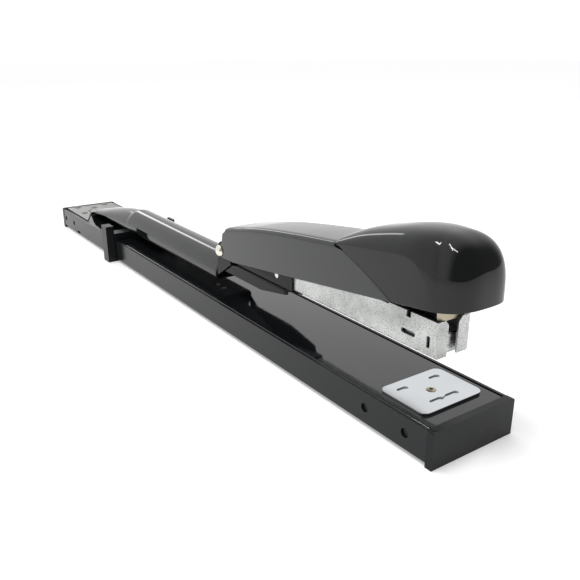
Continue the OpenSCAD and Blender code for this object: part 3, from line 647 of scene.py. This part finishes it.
def handle_shell_rows():
    """Sections of the handle from its rear edge to the seam."""
    shares = [SIDE_SHARE * k / SIDE_STEPS for k in range(SIDE_STEPS + 1)]
    rows = []
    for i in range(SHELL_STEPS + 1):
        along = i / SHELL_STEPS
        near = [side_point(along, share, -1) for share in shares]
        far = [side_point(along, share, 1) for share in reversed(shares)]
        rows.append(near + over_the_top(mix(rear_run(1.0), seam_run(1.0), along)) + far)
    return rows


handle_shell = shell_from_grid(
    "handle_shell_pressed", handle_shell_rows(), 1.0 * MM, gloss_enamel, "handle", "handle_shell"
)

# %% [markdown]
# ## The nose cap
#
# A moulded cap that continues the handle's flat sides, then domes over the top and
# rounds off to the front. Its outline in plan is walked from one side, round the front,
# to the other. At each step a rib climbs the flat side, turns over a crease and runs in
# to the spine. Scaling a sphere would be quicker, but its sides would bulge. The crease
# is a weight on the edges, so it can fade out where the side turns into the front.

# %% Outline of the nose
TIP_MARGIN = 0.3
NOSE_TIP = (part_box("nose_cap")[1].x - PIVOT.x) / MM - TIP_MARGIN
NOSE_TIP_LOW = 17.4
TURN_RUN = BLADE_RUN - 2.0
SEAM_GAP = 0.08
TONGUE_LENGTH = 3.0
TONGUE_STEP = 1.3
SIDE_RIBS = 30
FRONT_RIBS = 26
ROUND_POWER = 2 / 3


def nose_bottom(run):
    """Height of the cap's lower edge."""
    return mix(SEAM_FOOT[1], NOSE_TIP_LOW, (run - SEAM_FOOT[0]) / (NOSE_TIP - SEAM_FOOT[0]))


def plan_outline():
    """Steps (kind, value) along one side, from the tongue to the tip on the middle line."""
    tongue = [("tongue", -TONGUE_LENGTH), ("tongue", 0.0)]
    straight = [("side", k / SIDE_RIBS) for k in range(SIDE_RIBS + 1)]
    round_part = [("front", math.pi / 2 * k / FRONT_RIBS) for k in range(1, FRONT_RIBS + 1)]
    return tongue + straight + round_part


def plan_point(kind, value, share):
    """A step's run and half width; the side starts at the slanting seam."""
    if kind == "front":
        run = TURN_RUN + (NOSE_TIP - TURN_RUN) * math.sin(value) ** ROUND_POWER
        return run, handle_half(TURN_RUN) * max(0.0, math.cos(value)) ** ROUND_POWER
    seam = seam_run(share) + SEAM_GAP
    run = seam + value if kind == "tongue" else mix(seam, TURN_RUN, value)
    return run, handle_half(run)


print("the nose reaches", round(NOSE_TIP - BLADE_RUN, 1), "mm past the blade")

# %% Crease and spine
CREASE_REAR = (93.0, 26.7)
CREASE_FRONT = (128.0, 31.2)
CREASE_TURN = BLADE_RUN - 9
CREASE_END = BLADE_RUN + 6
CREASE_POWER = 2.4
SPINE_END = BLADE_RUN - 3.0
SPINE_CROWD = 30.0
CROWN = [
    (BLADE_RUN - 50, 26.8),
    (BLADE_RUN - 44, 30.2),
    (BLADE_RUN - 37, 33.2),
    (BLADE_RUN - 26, 36.3),
    (BLADE_RUN - 15, 38.9),
    (BLADE_RUN - 6, 39.9),
    (BLADE_RUN + 1, 39.9),
]


def side_crease(run):
    """Height of the crease between flat side and dome, which drops to the foot in front."""
    share = (min(run, CREASE_FRONT[0]) - CREASE_REAR[0]) / (CREASE_FRONT[0] - CREASE_REAR[0])
    level = mix(CREASE_REAR[1], CREASE_FRONT[1], share)
    drop = min(1.0, max(0.0, (run - CREASE_TURN) / (CREASE_END - CREASE_TURN)))
    return nose_bottom(run) + (level - nose_bottom(run)) * (1 - drop**CREASE_POWER)


def spine_point(run):
    """Where the rib from this run meets the middle line; the front ribs crowd together."""
    start = SPINE_END - SPINE_CROWD
    if run < start:
        return run
    share = min(1.0, (run - start) / (NOSE_TIP - start))
    return mix(start, SPINE_END, 1 - (1 - share) ** ((NOSE_TIP - start) / (SPINE_END - start)))


print("the crease ends", round(CREASE_END - BLADE_RUN, 1), "mm past the blade")

# %% Ribs
WALL_STEPS = 12
DOME_STEPS = 18
LEAST_WALL = 0.9
NOSE_INSET = 0.08
LIP_LOW = 0.8
LIP_HIGH = 1.6
DOME_LEAN = math.radians(34)


def nose_wall(kind, value, side, inset):
    """Points up the flat side; the lowest millimetre stands out as a faint lip."""
    points = []
    for k in range(WALL_STEPS + 1):
        share = k / WALL_STEPS
        run, half = plan_point(kind, value, share)
        low, high = nose_bottom(run), side_crease(run)
        has_lip = high - low > 0.1
        lip = NOSE_INSET * (1 - ease(share * (high - low), LIP_LOW, LIP_HIGH)) if has_lip else 0.0
        height = mix(low, max(high, low + LEAST_WALL), share)
        points.append(place(run, side * (half + lip - NOSE_INSET - inset), height))
    return points


def nose_dome(kind, value, side, inset):
    """Points from the crease to the spine, on a squarish arc that starts with a lean."""
    run, half = plan_point(kind, value, 1.0)
    low = max(side_crease(run), nose_bottom(run) + LEAST_WALL)
    high = profile(CROWN, spine_point(run)) - inset
    lean = DOME_LEAN * (1 - ease(run, CREASE_TURN - 12, CREASE_END + 4))
    lean_in, lean_up = math.cos(lean) ** ROUND_POWER, math.sin(lean) ** ROUND_POWER
    points = []
    for k in range(1, DOME_STEPS + 1):
        turn = mix(lean, math.pi / 2, k / DOME_STEPS)
        inward = (lean_in - max(0.0, math.cos(turn)) ** ROUND_POWER) / lean_in
        up = (math.sin(turn) ** ROUND_POWER - lean_up) / (1 - lean_up)
        y = side * mix(half - NOSE_INSET - inset, 0.0, inward)
        points.append(place(mix(run, spine_point(run), inward), y, mix(low, high, up)))
    return points


def nose_rib(kind, value, side):
    """A whole rib; the first two make a tongue that reaches inside the steel shell."""
    inset = TONGUE_STEP if kind == "tongue" else 0.0
    return nose_wall(kind, value, side, inset) + nose_dome(kind, value, side, inset)


outline = plan_outline()
near_ribs = [nose_rib(kind, value, -1) for kind, value in outline]
far_ribs = [nose_rib(kind, value, 1) for kind, value in reversed(outline[:-1])]
print("ribs of the nose:", len(near_ribs) + len(far_ribs))


# %% Nose
CREASE_WEIGHT = 0.9
FADE_START = BLADE_RUN - 8
FADE_END = BLADE_RUN + 2


def nose_creases(crease_row):
    """Crease weights along the top of the flat sides, fading out towards the front."""
    creases = []
    for k in range(len(crease_row) - 1):
        run = (crease_row[k].x - PIVOT.x) / MM
        creases.append((WALL_STEPS, k, CREASE_WEIGHT * (1 - ease(run, FADE_START, FADE_END))))
    return creases


# A crease has to run along a row of the grid, so the ribs become its columns
nose_grid = list(zip(*near_ribs, *far_ribs))
nose_cap = shell_from_grid(
    "nose_cap_moulded",
    nose_grid,
    1.6 * MM,
    nose_plastic,
    "handle",
    "nose_cap",
    nose_creases(nose_grid[WALL_STEPS]),
)


# %% [markdown]
# ## The arm's cover
#
# A long half-round pressing that flattens out at the rear, where it is riveted down. Its
# lower edges are hemmed inwards, which leaves a thin line above the inner rail. Half a
# cylinder with a bent end would pinch at the bend. So each section along it is half an
# ellipse of its own width and height, and the height rises along a softened ramp.

# %% Section of the cover
COVER_LOW, COVER_HIGH = [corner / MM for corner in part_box("arm_cover")]
RAIL_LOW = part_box("arm_rail")[0] / MM
TAIL_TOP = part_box("tail_plate")[1].z / MM
TAIL_HALF = 7.4
TAIL_SHEET = 0.6
EDGE_RISE = 1.4
LIFT_X = COVER_LOW.x + 26
FULL_X = COVER_LOW.x + 74
RAMP_SOFTNESS = 3.0
LEAST_CROWN = 1.4


def cover_bottom(x):
    """Height of the lower edges: on the tail plate at the rear, then above the rail."""
    on_rail = (RAIL_LOW.z - TAIL_TOP) * ease(x, COVER_LOW.x + 6, LIFT_X)
    return TAIL_TOP + on_rail + EDGE_RISE * ease(x, LIFT_X, RAIL_LOW.x)


def cover_crown(x):
    """Height of the crown: a straight ramp that bends softly into the level."""
    level = COVER_HIGH.z
    if x < FULL_X + 12:
        ramp = mix(TAIL_TOP + TAIL_SHEET, level, (x - COVER_LOW.x) / (FULL_X - COVER_LOW.x))
        level -= RAMP_SOFTNESS * math.log(1 + math.exp((level - ramp) / RAMP_SOFTNESS))
    return max(cover_bottom(x) + LEAST_CROWN, level)


print("the cover rises", round(cover_crown(COVER_HIGH.x) - cover_crown(COVER_LOW.x), 1), "mm")

# %% Cover
COVER_STEPS = 90
AROUND_STEPS = 34
HEM = 0.45


def cover_row(x):
    """One section of the cover, with a hem turned in at each lower edge."""
    bottom, crown = cover_bottom(x), cover_crown(x)
    half = mix(TAIL_HALF, COVER_HIGH.y, ease(x, COVER_LOW.x, LIFT_X))
    row = [Vector((x, HEM - half, bottom)) * MM]
    for k in range(AROUND_STEPS + 1):
        turn = math.pi * k / AROUND_STEPS
        row.append(Vector((x, -half * math.cos(turn), mix(bottom, crown, math.sin(turn)))) * MM)
    row.append(Vector((x, half - HEM, bottom)) * MM)
    return row


cover_rows = [
    cover_row(mix(COVER_LOW.x, COVER_HIGH.x, i / COVER_STEPS)) for i in range(COVER_STEPS + 1)
]
arm_cover = shell_from_grid("arm_cover_pressed", cover_rows, 0.5 * MM, gloss_enamel, "base", "arm_cover")


# %% [markdown]
# ## The pusher's spring
#
# A spring is a wire wound on a helix. A Screw modifier could wind it, but a curve with a
# round bevel gives a perfectly smooth wire and needs only the points of its centre line,
# which a loop works out from the CAD spring's box.

# %% Wire along a path
def wire(name, points, radius, finish, body, node):
    """A round wire through the points, riding on body for CAD node."""
    line = bpy.data.curves.new(name, "CURVE")
    line.dimensions = "3D"
    line.bevel_depth = radius
    line.bevel_resolution = 4
    line.use_fill_caps = True
    spline = line.splines.new("POLY")
    spline.points.add(len(points) - 1)
    for spline_point, point in zip(spline.points, points):
        spline_point.co = (*point, 1.0)
    piece = bpy.data.objects.new(name, line)
    bpy.context.scene.collection.objects.link(piece)
    piece.data.materials.append(finish)
    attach(piece, body)
    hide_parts(node)


# %% Spring
COIL_WIRE_R = 0.25 * MM
COIL_TURNS = 16
COIL_STEPS = 28


def pusher_coil():
    """The spring's centre line."""
    low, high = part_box("pusher_spring")
    coil_r = (high.z - low.z) / 2 - COIL_WIRE_R
    middle = (high.z + low.z) / 2
    start, end = low.x + COIL_WIRE_R, high.x - COIL_WIRE_R
    count = COIL_TURNS * COIL_STEPS
    points = []
    for k in range(count + 1):
        turn = 2 * math.pi * k / COIL_STEPS
        x = mix(start, end, k / count)
        points.append(Vector((x, coil_r * math.cos(turn), middle + coil_r * math.sin(turn))))
    return points


wire(
    "pusher_spring_wire",
    pusher_coil(),
    COIL_WIRE_R,
    spring_steel,
    "magazine",
    "pusher_spring",
)
print("turns of the pusher's spring:", COIL_TURNS)

# %% [markdown]
# ## The strip of staples
#
# Staples are sold glued in a strip. Each is a bent wire, so the strip is a row of
# bridges with a fine groove between them. An Array modifier could repeat one bridge, but
# a loop in bmesh keeps the whole strip one plain mesh that fills the CAD strip's box.

# %% Outline of one staple
STAPLE_PITCH = 1.0 * MM
STAPLE_GROOVE = 0.05 * MM
STAPLE_WIRE = 0.5 * MM
STAPLE_BEND_R = 0.55 * MM
STAPLE_BEND_STEPS = 4


def staple_outline(half, foot, top):
    """Outer and inner points (y, z) of a bridge, from one foot to the other."""
    leg = [((half, foot), (half - STAPLE_WIRE, foot))]
    for k in range(STAPLE_BEND_STEPS + 1):
        turn = math.pi / 2 * k / STAPLE_BEND_STEPS
        y = half - STAPLE_BEND_R * (1 - math.cos(turn))
        z = top - STAPLE_BEND_R * (1 - math.sin(turn))
        leg.append(((y, z), (half - STAPLE_WIRE, top - STAPLE_WIRE)))
    mirrored = [((-y0, z0), (-y1, z1)) for (y0, z0), (y1, z1) in leg]
    return mirrored + leg[::-1]


# %% Staples
def add_staple(form, outline, rear, front):
    """Adds one bridge between two places along the strip."""
    rings = []
    for x in (rear, front):
        outer = [form.verts.new((x, y, z)) for (y, z), _ in outline]
        inner = [form.verts.new((x, y, z)) for _, (y, z) in outline]
        rings.append((outer, inner))
    (outer0, inner0), (outer1, inner1) = rings
    last = len(outline) - 1
    for k in range(last):
        form.faces.new((outer0[k], outer0[k + 1], outer1[k + 1], outer1[k]))
        form.faces.new((inner0[k + 1], inner0[k], inner1[k], inner1[k + 1]))
        form.faces.new((outer0[k + 1], outer0[k], inner0[k], inner0[k + 1]))
        form.faces.new((outer1[k], outer1[k + 1], inner1[k + 1], inner1[k]))
    for k in (0, last):
        form.faces.new((outer0[k], outer1[k], inner1[k], inner0[k]))


def staple_strip():
    """The whole strip as one piece on the magazine; returns how many staples it has."""
    low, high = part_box("staple_strip")
    outline = staple_outline(high.y, low.z, high.z)
    count = round((high.x - low.x) / STAPLE_PITCH)
    form = bmesh.new()
    for k in range(count):
        rear = low.x + k * STAPLE_PITCH + STAPLE_GROOVE
        front = low.x + (k + 1) * STAPLE_PITCH - STAPLE_GROOVE
        add_staple(form, outline, rear, front)
    bmesh.ops.remove_doubles(form, verts=form.verts, dist=0.001 * MM)
    bmesh.ops.dissolve_degenerate(form, edges=form.edges, dist=0.001 * MM)
    bmesh.ops.recalc_face_normals(form, faces=form.faces)
    mesh = bpy.data.meshes.new("staple_strip_wires")
    form.to_mesh(mesh)
    form.free()
    piece = bpy.data.objects.new("staple_strip_wires", mesh)
    bpy.context.scene.collection.objects.link(piece)
    piece.data.materials.append(spring_steel)
    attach(piece, "magazine")
    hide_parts("staple_strip")
    return count


print("staples in the strip:", staple_strip())


# %% [markdown]
# ## Floor
#
# The stapler stands on a plain white table. A bare diffuse floor would turn grey in the
# half shade round the object, so it also gives off a little light of its own.

# %% Floor
FLOOR_HALF = 6.0
FLOOR_DROP = 0.05 * MM


def make_floor():
    """A plain pale square, a hair below the base."""
    corners = [(-1, -1), (1, -1), (1, 1), (-1, 1)]
    mesh = bpy.data.meshes.new("floor")
    mesh.from_pydata([(FLOOR_HALF * x, FLOOR_HALF * y, 0) for x, y in corners], [], [(0, 1, 2, 3)])
    piece = bpy.data.objects.new("floor", mesh)
    bpy.context.scene.collection.objects.link(piece)
    piece.data.materials.append(
        Finish("pale_floor").set(
            base_color=(0.90, 0.90, 0.90),
            roughness=0.9,
            emission_color=WHITE,
            emission_strength=0.32,
        )
    )
    piece.location.z = -FLOOR_DROP


make_floor()
print("floor:", 2 * FLOOR_HALF, "m wide")


# %% [markdown]
# ## Light
#
# Black gloss has no colour of its own to show, so what it mirrors is its look. The room
# is bright behind the stapler and dim in front: the paint then shines white at a low
# angle and stays black where it is looked at square on. An even sky would grey it all.
# Two narrow strips give the nose its bright streaks, and a taller light far behind puts
# a glint along the arm.

# %% The room
def make_world():
    """A room that is bright behind the stapler and dim in front of it."""
    world = bpy.data.worlds.new("bright_behind")
    bpy.context.scene.world = world
    world.use_nodes = True
    graph = Graph(world.node_tree)
    direction = graph.node("ShaderNodeTexCoord", output="Generated")
    ahead = graph.node("ShaderNodeSeparateXYZ", {}, {"Vector": direction}, "X")
    strength = graph.node(
        "ShaderNodeMapRange",
        {"interpolation_type": "SMOOTHSTEP"},
        {"Value": ahead, "From Min": -0.25, "From Max": 0.45, "To Min": 1.1, "To Max": 0.22},
    )
    background = world.node_tree.nodes["Background"]
    fill(world.node_tree, background.inputs["Color"], WHITE)
    fill(world.node_tree, background.inputs["Strength"], strength)


make_world()
print("world:", bpy.context.scene.world.name)


# %% Lights
def area_light(name, location, target, size, power):
    """A rectangle of light that faces its target; sizes are in metres, power in watts."""
    data = bpy.data.lights.new(name, "AREA")
    data.shape = "RECTANGLE"
    data.size, data.size_y = size
    data.energy = power
    light = bpy.data.objects.new(name, data)
    light.location = location
    light.rotation_mode = "QUATERNION"
    light.rotation_quaternion = (Vector(target) - Vector(location)).to_track_quat("-Z", "Y")
    bpy.context.scene.collection.objects.link(light)


NOSE_CENTRE = place(BLADE_RUN, 0, 36)
STREAK_PLACE = Vector((-0.10, -0.30, 0.92)) * 0.9
for index, shift in enumerate((-0.10, 0.10)):
    spot = NOSE_CENTRE + STREAK_PLACE + Vector((shift, 0.0, 0.0))
    area_light(f"strip_{index}", spot, NOSE_CENTRE, (0.42, 0.05), 1.8)
area_light("arm_glint", (-1.82, 0.29, 0.91), (-0.05, 0, 0.03), (0.22, 0.7), 1.9)
print("lights:", len(bpy.data.lights))

# %% [markdown]
# ## Camera
#
# The view is from in front and a little above, less than an arm's length from the nose.
# A longer lens from further away would flatten it. From close by, the near end of the
# base looks much larger than the far end.

# %% Camera
AZIMUTH = math.radians(55.17)
ELEVATION = math.radians(20.09)
CAMERA_PLACE = (0.31708, -0.16280, 0.13034)
LENS_MM = 41.37
SENSOR_MM = 36.0

camera_data = bpy.data.cameras.new("camera")
camera_data.lens = LENS_MM
camera_data.sensor_width = SENSOR_MM
camera_data.clip_start = 0.01
camera = bpy.data.objects.new("camera", camera_data)
bpy.context.scene.collection.objects.link(camera)
camera.location = CAMERA_PLACE
backwards = Vector((
    math.sin(AZIMUTH) * math.cos(ELEVATION),
    -math.cos(AZIMUTH) * math.cos(ELEVATION),
    math.sin(ELEVATION),
))
camera.rotation_mode = "QUATERNION"
camera.rotation_quaternion = (-backwards).to_track_quat("-Z", "Y")
bpy.context.scene.camera = camera
bpy.context.scene.view_settings.view_transform = "Standard"
print("camera at", CAMERA_PLACE, "with a lens of", LENS_MM, "mm")
